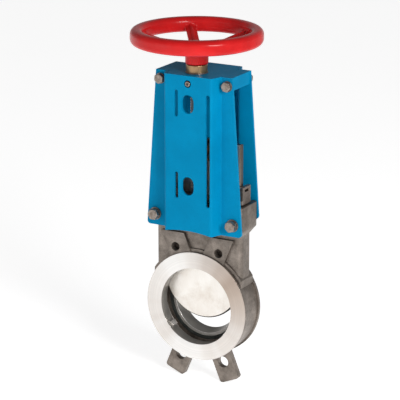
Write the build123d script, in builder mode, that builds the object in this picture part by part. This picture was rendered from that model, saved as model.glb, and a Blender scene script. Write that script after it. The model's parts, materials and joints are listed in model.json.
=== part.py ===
"""Wafer knife gate valve, DN 150, with a non-rising stem and a handwheel.

Millimetres. The origin is the centre of the bore on the inlet face, +Y runs along the
pipe from inlet to outlet and +Z runs up the stem. The gate stands about a third open.
"""
import os

from build123d import *

os.makedirs("parts", exist_ok=True)

# Flow passage and faces
face_to_face = 60.0
mid_y = face_to_face / 2
bore_r = 75.0
raised_face_r = 106.0
raised_face_h = 6.0

# Body casting
housing_r = 103.0
shoulder_r = 112.0
shoulder_z = 48.0
shoulder_half_t = 23.5
chest_half_w = 91.0
chest_half_t = 20.0
chest_top_z = 148.0
top_flange_half_w = 97.5
top_flange_half_t = 32.0
top_flange_z0 = 160.0
top_flange_z1 = 206.0

# Flange bolting: eight holes on the pitch circle, of which the wafer body carries four
pitch_circle_r = 120.0
lug_angle = 22.5
lug_thread_r = 8.75
lug_thread_depth = 15.0
lug_hole_r = 11.0
top_lug_half_t = 26.0
top_lug_inner = 28.0
top_lug_outer = 18.0
top_lug_z = 140.0
bottom_lug_half_t = 6.0
bottom_lug_half_w = 21.0
bottom_lug_end_r = 158.0

# Gate, drawn at its rest opening above the closed position
gate_half_w = 81.0
gate_half_t = 5.0
gate_opening = 52.0
gate_top_z = 319.0
gate_bevel = 2.6
cavity_half_w = 82.5
cavity_half_t = 6.5
cavity_bottom_r = 84.0
guide_pad_angles = (219.0, 321.0)
inlet_land = 9.0
relief = 1.2
pad_inner_r = 73.0
pad_w = 9.5
pad_h = 6.0
pad_clearance = 0.35

# Seat on the outlet side
seat_r = 76.0
seat_flange_r = 90.0
seat_flange_h = 6.0
seal_inner_r = 69.0
seal_y0 = mid_y + gate_half_t + 0.3
seal_y1 = mid_y + 14.0
seat_nose_y = mid_y + 6.0
seat_port_inner_r = 63.0
seat_port_outer_r = 58.5

# Stuffing box and gland
packing_z = 170.0
packing_h = 8.6
packing_count = 3
box_half_w = gate_half_w + 8.5
box_half_t = gate_half_t + 8.5
packing_clearance = 0.3
gland_skirt_clearance = 0.4
gland_z0 = 208.0
gland_z1 = 216.0
gland_half_w = 91.5
gland_half_t = 31.0
gland_end_half_t = 15.5
gland_shoulder_x = 62.0
gland_rib_top_z = 241.0
gland_rib_t = 8.0
gland_stud_x = 46.0
gland_stud_y = 22.0
gland_stud_r = 5.0
gland_stud_z0 = 186.0
gland_stud_z1 = 232.0

# Yoke: two pressed plates of hat section and a bridge across their tops
sheet = 5.0
flange_y = 37.0
panel_y = 59.5
panel_half_w = 49.5
web_foot_half_w = 57.5
yoke_top_z = 451.0
yoke_bottom_z = 152.0
yoke_rear_bottom_z = 170.0
yoke_top_half_w = 79.5
yoke_bottom_half_w = 100.3
yoke_corner_r = 6.0
panel_arch = 5.0
short_slot_x = -24.0
oval_centres_z = (243.0, 398.0)
long_slot_x = 42.0
long_slot_z = 313.5
long_slot_size = (8.6, 212.0)
short_slot_size = (7.4, 50.0)
oval_size = (25.0, 35.0)
panel_bend_r = 6.0
foot_bend_r = 3.0
bridge_plate = 8.0
bridge_wall = 6.0
bridge_skirt = 24.0
bridge_hollow_half_w = 50.0
bridge_arm_half_w = 45.2
bridge_root_half_w = 53.2

# Fasteners: M12 on the yoke, M10 on the gland, M8 on the stem nut, M6 on the panels
m12_r = 6.0
m12_hole_r = 6.5
m12_flats = 19.0
m12_head = 7.5
m12_washer_r = 12.0
m12_washer = 2.5
m12_lock_r = 10.0
m12_lock = 3.0
bolt_top = (70.0, 435.0)
bolt_bottom = (82.0, 174.0)
bolt_depth = 14.0
m10_r = 5.0
m10_hole_r = 5.5
m10_flats = 17.0
m10_head = 6.4
m10_nut = 8.0
m10_washer_r = 10.0
m10_washer = 2.0
m8_r = 4.0
m8_flats = 13.0
m8_head = 5.3
m8_nut = 6.5
m6_r = 3.0
m6_head_r = 5.0
m6_head = 6.0
m6_socket = 5.0
m6_socket_depth = 3.0
m6_counterbore_r = 7.0
panel_screw_z = 436.0

# Stem, its nut and its bearing
stem_y = mid_y - 25.0
thread_r = 12.0
journal_r = 11.0
stem_z0 = 230.0
collar_z0 = 433.0
collar_r = 18.0
thrust_washer = 2.0
thrust_gap = 0.1
bush_r = 15.0
bush_collar_r = 19.8
bush_top_z = 467.5
bush_ring_r = 20.8
bush_ring_h = 2.0
fit_clearance = 0.06
nut_z0 = 284.0
nut_z1 = 326.0
nut_plate = 8.0
nut_plate_half_w = 36.0
nut_barrel_r = 18.0
nut_bolt_x = 27.0
nut_bolt_z = 11.0

# Handwheel
rim_r = 109.5
rim_half_w = 12.5
rim_half_h = 14.2
rim_corner_r = 10.0
rim_z = 519.0
hub_r = 21.5
hub_z0 = bush_top_z + 0.3
hub_z1 = 498.0
spoke_count = 5
spoke_first_angle = -90.0
spoke_half_w = 10.0
spoke_t = 8.0
spoke_ridge = 3.0
spoke_ridge_half_w = 3.5
key_w = 6.0
key_z = (470.0, 488.0)
wheel_washer_r = 15.0
wheel_washer = 2.5
wheel_thread_r = 8.0
wheel_nut_flats = 24.0
wheel_nut_h = 8.0
stem_end_z = hub_z1 + wheel_washer + wheel_nut_h + 1.5


def facing_inlet(y):
    """Sketch plane across the pipe at height y: local axes are world X and Z."""
    return Plane.XZ.offset(-y)


def level(z):
    """Sketch plane at height z: local axes are world X and Y."""
    return Plane.XY.offset(z)


def hexagon(flats):
    """Hexagon of the given width across flats."""
    RegularPolygon(radius=flats / 2, side_count=6, major_radius=False)


def save(piece, name):
    """Label a finished sub-part and write its STEP file."""
    piece.part.label = name
    export_step(piece.part, f"parts/{name}.step")


def lug_outline(angle, inner, outer, end_r):
    """Radial lug about the pitch-circle hole, as wide as inner + outer."""
    with Locations(Rotation(0, 0, angle)):
        with Locations(((outer - inner) / 2, end_r / 2)):
            Rectangle(inner + outer, end_r)


# Body: round housing, chest around the gate, top flange, lugs and raised faces.
with BuildPart() as body:
    with BuildSketch(facing_inlet(raised_face_h)):
        Circle(housing_r)
    extrude(amount=-(face_to_face - 2 * raised_face_h))
    for y in (0.0, face_to_face - raised_face_h):
        with BuildSketch(facing_inlet(y)):
            Circle(raised_face_r)
        extrude(amount=-raised_face_h)
    with BuildSketch(facing_inlet(mid_y - shoulder_half_t)):
        Circle(shoulder_r)
        with Locations((0, shoulder_z + shoulder_r / 2)):
            Rectangle(2 * chest_half_w + 4, shoulder_r, mode=Mode.INTERSECT)
    extrude(amount=-2 * shoulder_half_t)
    with BuildSketch(level(0)):
        with Locations((0, mid_y)):
            RectangleRounded(2 * chest_half_w, 2 * chest_half_t, 10)
    extrude(amount=chest_top_z)
    with BuildSketch(level(chest_top_z)):
        with Locations((0, mid_y)):
            RectangleRounded(2 * chest_half_w, 2 * chest_half_t, 10)
    with BuildSketch(level(top_flange_z0)):
        with Locations((0, mid_y)):
            RectangleRounded(2 * top_flange_half_w, 2 * top_flange_half_t, 6)
    loft()
    with BuildSketch(level(top_flange_z0)):
        with Locations((0, mid_y)):
            RectangleRounded(2 * top_flange_half_w, 2 * top_flange_half_t, 6)
    extrude(amount=top_flange_z1 - top_flange_z0)
    # Top lugs end level under the top flange, bottom lugs are thin ears.
    with BuildSketch(facing_inlet(mid_y - top_lug_half_t)):
        lug_outline(-lug_angle, top_lug_inner, top_lug_outer, bottom_lug_end_r)
        lug_outline(lug_angle, top_lug_outer, top_lug_inner, bottom_lug_end_r)
        with Locations((0, (top_lug_z + bore_r) / 2)):
            Rectangle(2 * chest_half_w, top_lug_z - bore_r, mode=Mode.INTERSECT)
    extrude(amount=-2 * top_lug_half_t)
    with BuildSketch(facing_inlet(mid_y - bottom_lug_half_t)):
        for side in (-1, 1):
            lug_outline(180 + side * lug_angle, bottom_lug_half_w, bottom_lug_half_w, bottom_lug_end_r)
    extrude(amount=-2 * bottom_lug_half_t)
    ear_corners = body.edges().filter_by(Axis.Y).group_by(Axis.Z)[0:2]
    fillet([edge for group in ear_corners for edge in group], 6)
    # Flow passage, with a wider bore for the seat on the outlet side
    with BuildSketch(facing_inlet(0)):
        Circle(bore_r)
    extrude(amount=-mid_y, mode=Mode.SUBTRACT)
    with BuildSketch(facing_inlet(mid_y)):
        Circle(seat_r)
    extrude(amount=-mid_y, mode=Mode.SUBTRACT)
    with BuildSketch(facing_inlet(face_to_face - seat_flange_h)):
        Circle(seat_flange_r)
    extrude(amount=-seat_flange_h, mode=Mode.SUBTRACT)
    # Gate cavity and stuffing box
    with BuildSketch(facing_inlet(mid_y - cavity_half_t)):
        Circle(cavity_bottom_r)
        with Locations((0, top_flange_z1 / 2)):
            Rectangle(2 * cavity_half_w, top_flange_z1)
        with Locations((0, (top_flange_z1 - cavity_bottom_r) / 2)):
            Rectangle(2 * cavity_half_w, top_flange_z1 + cavity_bottom_r, mode=Mode.INTERSECT)
    extrude(amount=-2 * cavity_half_t, mode=Mode.SUBTRACT)
    with BuildSketch(level(packing_z)):
        with Locations((0, mid_y)):
            Rectangle(2 * box_half_w, 2 * box_half_t)
    extrude(amount=top_flange_z1 - packing_z, mode=Mode.SUBTRACT)
    # Relief behind the inlet land, and guide pads in it that stop just clear of the gate's face
    with BuildSketch(facing_inlet(inlet_land)):
        Circle(bore_r + relief)
    extrude(amount=-(mid_y - inlet_land), mode=Mode.SUBTRACT)
    for angle in guide_pad_angles:
        with BuildSketch(facing_inlet(inlet_land)):
            with Locations(Rotation(0, 0, angle)):
                with Locations((pad_inner_r + pad_h / 2, 0)):
                    Rectangle(pad_h, pad_w)
        extrude(amount=-(mid_y - gate_half_t - pad_clearance - inlet_land))
    # Blind lug threads on both sides, through holes in the ears, stud and bolt threads
    for y, reach in ((mid_y - top_lug_half_t, -1), (mid_y + top_lug_half_t, 1)):
        with BuildSketch(facing_inlet(y)):
            with PolarLocations(pitch_circle_r, 2, start_angle=90 - lug_angle, angular_range=4 * lug_angle):
                Circle(lug_thread_r)
        extrude(amount=reach * lug_thread_depth, mode=Mode.SUBTRACT)
    with BuildSketch(facing_inlet(mid_y - bottom_lug_half_t)):
        with PolarLocations(pitch_circle_r, 2, start_angle=270 - lug_angle, angular_range=4 * lug_angle):
            Circle(lug_hole_r)
    extrude(amount=-2 * bottom_lug_half_t, mode=Mode.SUBTRACT)
    with BuildSketch(level(top_flange_z1)):
        with Locations((0, mid_y)):
            with GridLocations(2 * gland_stud_x, 2 * gland_stud_y, 2, 2):
                Circle(gland_stud_r)
    extrude(amount=gland_stud_z0 - top_flange_z1, mode=Mode.SUBTRACT)
    for y, reach in ((mid_y - top_flange_half_t, -1), (mid_y + top_flange_half_t, 1)):
        with BuildSketch(facing_inlet(y)):
            with Locations((-bolt_bottom[0], bolt_bottom[1]), bolt_bottom):
                Circle(m12_r)
        extrude(amount=reach * bolt_depth, mode=Mode.SUBTRACT)
save(body, "body")

# Seat: a rubber ring against the gate, held by a flanged ring flush with the outlet face.
with BuildPart() as seat_seal:
    with BuildSketch(facing_inlet(seal_y0)):
        Circle(seat_r)
        Circle(seal_inner_r, mode=Mode.SUBTRACT)
    extrude(amount=-(seal_y1 - seal_y0))
save(seat_seal, "seat_seal")

with BuildPart() as seat_retainer:
    with BuildSketch():
        with BuildLine():
            Polyline((seat_port_inner_r, seat_nose_y), (seal_inner_r, seat_nose_y), (seal_inner_r, seal_y1),
                     (seat_r, seal_y1), (seat_r, face_to_face - seat_flange_h),
                     (seat_flange_r, face_to_face - seat_flange_h), (seat_flange_r, face_to_face),
                     (seat_port_outer_r, face_to_face), close=True)
        make_face()
    revolve(axis=Axis.Y)
save(seat_retainer, "seat_retainer")

# Packing rings, stacked around the gate in the stuffing box
packing_names = ("packing_lower", "packing_middle", "packing_upper")
for index, packing_name in enumerate(packing_names):
    with BuildPart() as packing:
        with BuildSketch(level(packing_z + index * packing_h)):
            with Locations((0, mid_y)):
                Rectangle(2 * box_half_w, 2 * box_half_t)
                Rectangle(2 * (gate_half_w + packing_clearance), 2 * (gate_half_t + packing_clearance),
                          mode=Mode.SUBTRACT)
        extrude(amount=packing_h)
    save(packing, packing_name)

# Gland follower: a skirt on the packing, a flange on four studs and a stiffening rib at each end.
gland_window = (2 * (gate_half_w + 0.6), 2 * (gate_half_t + 0.6))
skirt_z = packing_z + packing_count * packing_h
with BuildPart() as gland_follower:
    with BuildSketch(level(skirt_z)):
        with Locations((0, mid_y)):
            Rectangle(2 * (box_half_w - gland_skirt_clearance), 2 * (box_half_t - gland_skirt_clearance))
    extrude(amount=gland_z0 - skirt_z)
    with BuildSketch(level(gland_z0)):
        with Locations((0, mid_y)):
            Polygon((-gland_half_w, -gland_end_half_t), (-gland_shoulder_x, -gland_half_t),
                    (gland_shoulder_x, -gland_half_t), (gland_half_w, -gland_end_half_t),
                    (gland_half_w, gland_end_half_t), (gland_shoulder_x, gland_half_t),
                    (-gland_shoulder_x, gland_half_t), (-gland_half_w, gland_end_half_t))
    extrude(amount=gland_z1 - gland_z0)
    with BuildSketch(level(gland_z1)):
        with Locations((0, mid_y)):
            with GridLocations(2 * gland_half_w - gland_rib_t, 0, 2, 1):
                Rectangle(gland_rib_t, 2 * gland_end_half_t)
    extrude(amount=gland_rib_top_z - gland_z1)
    with BuildSketch(level(skirt_z)):
        with Locations((0, mid_y)):
            Rectangle(*gland_window)
            with GridLocations(2 * gland_stud_x, 2 * gland_stud_y, 2, 2):
                Circle(gland_stud_r + 0.5)
    extrude(amount=gland_z1 - skirt_z, mode=Mode.SUBTRACT)
    # A slot through each rib
    with BuildSketch(Plane.YZ.offset(-gland_half_w)):
        with Locations((mid_y, gland_rib_top_z - 7)):
            SlotOverall(16, 5)
    extrude(amount=2 * gland_half_w, mode=Mode.SUBTRACT)
save(gland_follower, "gland_follower")

with BuildPart() as gland_studs:
    with BuildSketch(level(gland_stud_z0)):
        with Locations((0, mid_y)):
            with GridLocations(2 * gland_stud_x, 2 * gland_stud_y, 2, 2):
                Circle(gland_stud_r)
    extrude(amount=gland_stud_z1 - gland_stud_z0)
save(gland_studs, "gland_studs")

with BuildPart() as gland_washers:
    with BuildSketch(level(gland_z1)):
        with Locations((0, mid_y)):
            with GridLocations(2 * gland_stud_x, 2 * gland_stud_y, 2, 2):
                Circle(m10_washer_r)
                Circle(gland_stud_r, mode=Mode.SUBTRACT)
    extrude(amount=m10_washer)
save(gland_washers, "gland_washers")

with BuildPart() as gland_nuts:
    with BuildSketch(level(gland_z1 + m10_washer)):
        with Locations((0, mid_y)):
            with GridLocations(2 * gland_stud_x, 2 * gland_stud_y, 2, 2):
                hexagon(m10_flats)
                Circle(gland_stud_r, mode=Mode.SUBTRACT)
    extrude(amount=m10_nut)
save(gland_nuts, "gland_nuts")

# Gate: a plate with a round lower edge, bevelled towards the inlet.
gate_centre_z = gate_opening
nut_bolt_rows = (0.5 * (nut_z0 + nut_z1) - nut_bolt_z, 0.5 * (nut_z0 + nut_z1) + nut_bolt_z)
nut_bolt_places = [(side * nut_bolt_x, z) for side in (-1, 1) for z in nut_bolt_rows]
with BuildPart() as gate:
    with BuildSketch(facing_inlet(mid_y - gate_half_t)):
        with Locations((0, gate_centre_z)):
            Circle(gate_half_w)
        with Locations((0, (gate_centre_z + gate_top_z) / 2)):
            Rectangle(2 * gate_half_w, gate_top_z - gate_centre_z)
    extrude(amount=-2 * gate_half_t)
    chamfer(gate.edges().filter_by(GeomType.CIRCLE).sort_by(Axis.Y)[0], gate_bevel)
    with BuildSketch(facing_inlet(mid_y - gate_half_t)):
        with Locations(*nut_bolt_places):
            Circle(m8_r + 0.5)
    extrude(amount=-2 * gate_half_t, mode=Mode.SUBTRACT)
save(gate, "gate")


# Yoke plates: hat section, tapering flanges, windows in the raised panel.
def yoke_plate(side, bottom_z):
    """Yoke plate on one side of the gate: side -1 faces the inlet, 1 the outlet."""
    taper = (yoke_bottom_half_w - yoke_top_half_w) / (yoke_top_z - yoke_bottom_z)
    foot_half_w = yoke_top_half_w + taper * (yoke_top_z - bottom_z)
    profile = [(x * half, side * y) for x, half, y in (
        (-1, yoke_bottom_half_w, flange_y), (-1, web_foot_half_w, flange_y), (-1, panel_half_w, panel_y),
        (1, panel_half_w, panel_y), (1, web_foot_half_w, flange_y), (1, yoke_bottom_half_w, flange_y))]
    panel_plane = facing_inlet(mid_y + side * panel_y)
    with BuildPart() as plate:
        with BuildSketch(Plane((0, mid_y, bottom_z))):
            with BuildLine() as bends:
                Polyline(*profile)
                corners = bends.vertices().sort_by(Axis.X)
                fillet(corners[2:4], panel_bend_r)
                fillet([corners[1], corners[4]], foot_bend_r)
                offset(amount=sheet, side=Side.LEFT if side < 0 else Side.RIGHT)
            make_face()
        extrude(amount=yoke_top_z - bottom_z)
        # Front view outline: tapering sides, rounded lower corners, a shallow arch between them
        with BuildSketch(facing_inlet(mid_y + side * panel_y)) as outline:
            with BuildLine():
                Polyline((-panel_half_w, bottom_z), (-foot_half_w, bottom_z), (-yoke_top_half_w, yoke_top_z),
                         (yoke_top_half_w, yoke_top_z), (foot_half_w, bottom_z), (panel_half_w, bottom_z))
                ThreePointArc((-panel_half_w, bottom_z), (0, bottom_z + panel_arch), (panel_half_w, bottom_z))
            make_face()
            fillet(outline.vertices().group_by(Axis.Y)[0].sort_by(Axis.X)[0::3], yoke_corner_r)
        extrude(amount=side * panel_y, mode=Mode.INTERSECT)
        # Windows in the raised panel
        with BuildSketch(panel_plane):
            for z in oval_centres_z:
                with Locations((0, z)):
                    SlotOverall(oval_size[1], oval_size[0], rotation=90)
                with Locations((-side * short_slot_x, z)):
                    SlotOverall(short_slot_size[1], short_slot_size[0], rotation=90)
            with Locations((-side * long_slot_x, long_slot_z)):
                SlotOverall(long_slot_size[1], long_slot_size[0], rotation=90)
            with Locations((0, panel_screw_z)):
                Circle(m6_counterbore_r)
        extrude(amount=side * 2 * sheet, mode=Mode.SUBTRACT)
        # Bolt holes in the flanges
        with BuildSketch(panel_plane):
            for (x, z), hole_r in ((bolt_top, m10_hole_r), (bolt_bottom, m12_hole_r)):
                with Locations((-x, z), (x, z)):
                    Circle(hole_r)
        extrude(amount=side * panel_y, mode=Mode.SUBTRACT)
    return plate


yoke_plate_front = yoke_plate(-1, yoke_bottom_z)
save(yoke_plate_front, "yoke_plate_front")
yoke_plate_rear = yoke_plate(1, yoke_rear_bottom_z)
save(yoke_plate_rear, "yoke_plate_rear")

# Yoke bridge: a cross-shaped block bolted between the two yoke plates, hollow beneath
plate_under_z = yoke_top_z - bridge_plate
with BuildPart() as yoke_bridge:
    with BuildSketch(level(yoke_top_z)):
        with Locations((0, mid_y)):
            Rectangle(2 * yoke_top_half_w, 2 * (flange_y - sheet))
            for side in (-1, 1):
                Polygon((-bridge_root_half_w, 0), (-bridge_root_half_w, side * (flange_y - sheet)),
                        (-bridge_arm_half_w, side * (panel_y - sheet)), (bridge_arm_half_w, side * (panel_y - sheet)),
                        (bridge_root_half_w, side * (flange_y - sheet)), (bridge_root_half_w, 0), align=None)
    extrude(amount=-bridge_skirt)
    with BuildSketch(level(yoke_top_z - bridge_skirt)):
        with Locations((0, mid_y)):
            Rectangle(2 * bridge_hollow_half_w, 2 * (flange_y - sheet - bridge_wall))
            Rectangle(2 * (bridge_arm_half_w - bridge_wall), 2 * (panel_y - sheet - bridge_wall))
    extrude(amount=bridge_skirt - bridge_plate, mode=Mode.SUBTRACT)
    with BuildSketch(level(yoke_top_z)):
        with Locations((0, stem_y)):
            Circle(bush_r)
    extrude(amount=-bridge_plate, mode=Mode.SUBTRACT)
    with BuildSketch(facing_inlet(mid_y)):
        with Locations((0, panel_screw_z)):
            Circle(m6_r)
    extrude(amount=panel_y, both=True, mode=Mode.SUBTRACT)
    for y, reach in ((mid_y - flange_y + sheet, -1), (mid_y + flange_y - sheet, 1)):
        with BuildSketch(facing_inlet(y)):
            with Locations((-bolt_top[0], bolt_top[1]), bolt_top):
                Circle(m10_r)
        extrude(amount=reach * bolt_depth, mode=Mode.SUBTRACT)
save(yoke_bridge, "yoke_bridge")


def row_of_hexagons(plane, places, flats):
    """Bolt-head outlines at several places of a plane."""
    with BuildSketch(plane) as outlines:
        with Locations(*places):
            hexagon(flats)
    return outlines.sketch


def row_of_circles(plane, places, radius):
    """Shank outlines at several places of a plane."""
    with BuildSketch(plane) as outlines:
        with Locations(*places):
            Circle(radius)
    return outlines.sketch


def both_sides(half_spread):
    """The planes at both sides of the gate at this distance, each with its outward direction."""
    return [(facing_inlet(mid_y + side * half_spread), -side) for side in (-1, 1)]


top_pair = [(-bolt_top[0], bolt_top[1]), bolt_top]
bottom_pair = [(-bolt_bottom[0], bolt_bottom[1]), bolt_bottom]


def yoke_washers(places, start, outer_r, inner_r, thickness):
    """Rings around one row of yoke bolts on both sides, lying this far off the plates."""
    with BuildPart() as washers:
        for plane, outward in both_sides(flange_y + start):
            with BuildSketch(plane):
                with Locations(*places):
                    Circle(outer_r)
                    Circle(inner_r, mode=Mode.SUBTRACT)
            extrude(amount=outward * thickness)
    return washers


save(yoke_washers(top_pair, 0, m10_washer_r, m10_r, m10_washer), "yoke_washers_top")
save(yoke_washers(bottom_pair, 0, m12_washer_r, m12_r, m12_washer), "yoke_washers_bottom")
save(yoke_washers(bottom_pair, m12_washer, m12_lock_r, m12_r, m12_lock), "yoke_lock_washers")

bolt_rows = ((top_pair, m10_washer, m10_flats, m10_head, m10_r),
             (bottom_pair, m12_washer + m12_lock, m12_flats, m12_head, m12_r))
with BuildPart() as yoke_bolts:
    for places, stack, flats, head, shank_r in bolt_rows:
        for plane, outward in both_sides(flange_y + stack):
            extrude(row_of_hexagons(plane, places, flats), amount=outward * head)
            extrude(row_of_circles(plane, places, shank_r), amount=-outward * (stack + sheet + bolt_depth))
save(yoke_bolts, "yoke_bolts")

screw_seat_y = panel_y - sheet
with BuildPart() as panel_screws:
    for plane, outward in both_sides(screw_seat_y):
        extrude(row_of_circles(plane, [(0, panel_screw_z)], m6_head_r), amount=outward * m6_head)
        extrude(row_of_circles(plane, [(0, panel_screw_z)], m6_r), amount=-outward * bridge_wall)
    for plane, outward in both_sides(screw_seat_y + m6_head):
        extrude(row_of_hexagons(plane, [(0, panel_screw_z)], m6_socket), amount=-outward * m6_socket_depth,
                mode=Mode.SUBTRACT)
save(panel_screws, "panel_screws")

# Stem: thread in the stem nut, thrust collar under the bridge, journal, keyed hub seat and end thread.
collar_z1 = plate_under_z - thrust_washer - thrust_gap
with BuildPart() as stem:
    with BuildSketch(Plane((0, stem_y, 0), z_dir=(0, -1, 0), x_dir=(1, 0, 0))):
        with BuildLine():
            Polyline((0, stem_z0), (thread_r - 2, stem_z0), (thread_r, stem_z0 + 2), (thread_r, collar_z0),
                     (collar_r, collar_z0), (collar_r, collar_z1), (journal_r, collar_z1),
                     (journal_r, hub_z1), (wheel_thread_r, hub_z1), (wheel_thread_r, stem_end_z - 1.5),
                     (wheel_thread_r - 1.5, stem_end_z), (0, stem_end_z), close=True)
        make_face()
    revolve(axis=Axis((0, stem_y, 0), (0, 0, 1)))
    with BuildSketch(level(key_z[0])):
        with Locations((0, stem_y + journal_r)):
            Rectangle(key_w, key_w)
    extrude(amount=key_z[1] - key_z[0], mode=Mode.SUBTRACT)
save(stem, "stem")

with BuildPart() as wheel_key:
    with BuildSketch(level(key_z[0])):
        with Locations((0, stem_y + journal_r)):
            Rectangle(key_w, key_w)
    extrude(amount=key_z[1] - key_z[0])
save(wheel_key, "wheel_key")


def washer(z, outer_r, inner_r, thickness):
    """Flat ring around the stem."""
    with BuildPart() as ring:
        with BuildSketch(level(z)):
            with Locations((0, stem_y)):
                Circle(outer_r)
                Circle(inner_r, mode=Mode.SUBTRACT)
        extrude(amount=thickness)
    return ring


save(washer(plate_under_z - thrust_washer, collar_r, journal_r + 0.5, thrust_washer), "thrust_washer")
save(washer(yoke_top_z, bush_ring_r, bush_r, bush_ring_h), "bush_ring")
save(washer(hub_z1, wheel_washer_r, wheel_thread_r, wheel_washer), "wheel_washer")

with BuildPart() as wheel_nut:
    with BuildSketch(level(hub_z1 + wheel_washer)):
        with Locations((0, stem_y)):
            hexagon(wheel_nut_flats)
            Circle(wheel_thread_r, mode=Mode.SUBTRACT)
    extrude(amount=wheel_nut_h)
save(wheel_nut, "wheel_nut")

# Stem bush: a sleeve through the bridge with a collar under the hub
with BuildPart() as stem_bush:
    with BuildSketch(level(plate_under_z)):
        with Locations((0, stem_y)):
            Circle(bush_r)
    extrude(amount=bush_top_z - plate_under_z)
    with BuildSketch(level(yoke_top_z + bush_ring_h)):
        with Locations((0, stem_y)):
            Circle(bush_collar_r)
    extrude(amount=bush_top_z - yoke_top_z - bush_ring_h)
    chamfer(stem_bush.edges().filter_by(GeomType.CIRCLE).group_by(Axis.Z)[-1], 1)
    with BuildSketch(level(plate_under_z)):
        with Locations((0, stem_y)):
            Circle(journal_r + fit_clearance)
    extrude(amount=bush_top_z - plate_under_z, mode=Mode.SUBTRACT)
save(stem_bush, "stem_bush")

# Stem nut: a threaded barrel on a plate bolted to the inlet side of the gate
gate_face_y = mid_y - gate_half_t
with BuildPart() as stem_nut:
    with BuildSketch(level(nut_z0)):
        with Locations((0, gate_face_y - nut_plate / 2)):
            Rectangle(2 * nut_plate_half_w, nut_plate)
        with Locations((0, (stem_y + gate_face_y) / 2)):
            Rectangle(2 * nut_barrel_r, gate_face_y - stem_y)
        with Locations((0, stem_y)):
            Circle(nut_barrel_r)
            Circle(thread_r + fit_clearance, mode=Mode.SUBTRACT)
    extrude(amount=nut_z1 - nut_z0)
    with BuildSketch(facing_inlet(gate_face_y - nut_plate)):
        with Locations(*nut_bolt_places):
            Circle(m8_r + 0.5)
    extrude(amount=-nut_plate, mode=Mode.SUBTRACT)
save(stem_nut, "stem_nut")

nut_bolt_head_plane = facing_inlet(gate_face_y - nut_plate)
nut_bolt_grip = nut_plate + 2 * gate_half_t + m8_nut + 2
with BuildPart() as stem_nut_bolts:
    extrude(row_of_hexagons(nut_bolt_head_plane, nut_bolt_places, m8_flats), amount=m8_head)
    extrude(row_of_circles(nut_bolt_head_plane, nut_bolt_places, m8_r), amount=-nut_bolt_grip)
save(stem_nut_bolts, "stem_nut_bolts")

with BuildPart() as stem_nut_nuts:
    with BuildSketch(facing_inlet(mid_y + gate_half_t)):
        with Locations(*nut_bolt_places):
            hexagon(m8_flats)
            Circle(m8_r, mode=Mode.SUBTRACT)
    extrude(amount=-m8_nut)
save(stem_nut_nuts, "stem_nut_nuts")

# Handwheel: rim of rounded section, five dished spokes with a ridge on top, and a keyed hub.
spoke_root = (hub_r - 4, hub_z1 - 2)
spoke_tip = (rim_r - 6, rim_z + 1)
root_tangent = (1, 0.2)
tip_tangent = (1, 0.3)


def spoke_blade(plane, top_rise, depth, half_w):
    """Dished blade from hub to rim, its top lying above the spoke line by top_rise."""
    root_z = spoke_root[1] + top_rise
    tip_z = spoke_tip[1] + top_rise
    with BuildPart() as blade:
        with BuildSketch(plane):
            with BuildLine():
                upper = Spline((spoke_root[0], root_z), (spoke_tip[0], tip_z), tangents=(root_tangent, tip_tangent))
                lower = Spline((spoke_root[0], root_z - depth), (spoke_tip[0], tip_z - depth),
                               tangents=(root_tangent, tip_tangent))
                Line(upper @ 0, lower @ 0)
                Line(upper @ 1, lower @ 1)
            make_face()
        extrude(amount=half_w, both=True)
    return blade.part


stem_axis = Axis((0, stem_y, 0), (0, 0, 1))
with BuildPart() as handwheel:
    with BuildSketch(level(hub_z0)):
        with Locations((0, stem_y)):
            Circle(hub_r)
    extrude(amount=hub_z1 - hub_z0)
    chamfer(handwheel.edges().group_by(Axis.Z)[-1], 1.5)
    for turn in range(spoke_count):
        angle = spoke_first_angle + turn * 360 / spoke_count
        radial = Plane((0, stem_y, 0), x_dir=Vector(1, 0, 0).rotate(Axis.Z, angle),
                       z_dir=Vector(0, -1, 0).rotate(Axis.Z, angle))
        add(spoke_blade(radial, 0, spoke_t, spoke_half_w))
        add(spoke_blade(radial, spoke_ridge, spoke_t, spoke_ridge_half_w))
    with BuildSketch(Plane((0, stem_y, 0), x_dir=(1, 0, 0), z_dir=(0, -1, 0))):
        with Locations((rim_r, rim_z)):
            RectangleRounded(2 * rim_half_w, 2 * rim_half_h, rim_corner_r)
    revolve(axis=stem_axis)
    with BuildSketch(level(hub_z0)):
        with Locations((0, stem_y)):
            Circle(journal_r)
    extrude(amount=hub_z1 - hub_z0, mode=Mode.SUBTRACT)
    with BuildSketch(level(hub_z0)):
        with Locations((0, stem_y + journal_r)):
            Rectangle(key_w, key_w)
    extrude(amount=hub_z1 - hub_z0, mode=Mode.SUBTRACT)
save(handwheel, "handwheel")
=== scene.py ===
"""Looks of the wafer knife gate valve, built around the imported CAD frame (metres, +Z up the stem)."""
import json
from math import cos, pi, radians, sin, sqrt, tan

import bmesh
import bpy
from mathutils import Matrix, Vector


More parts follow.
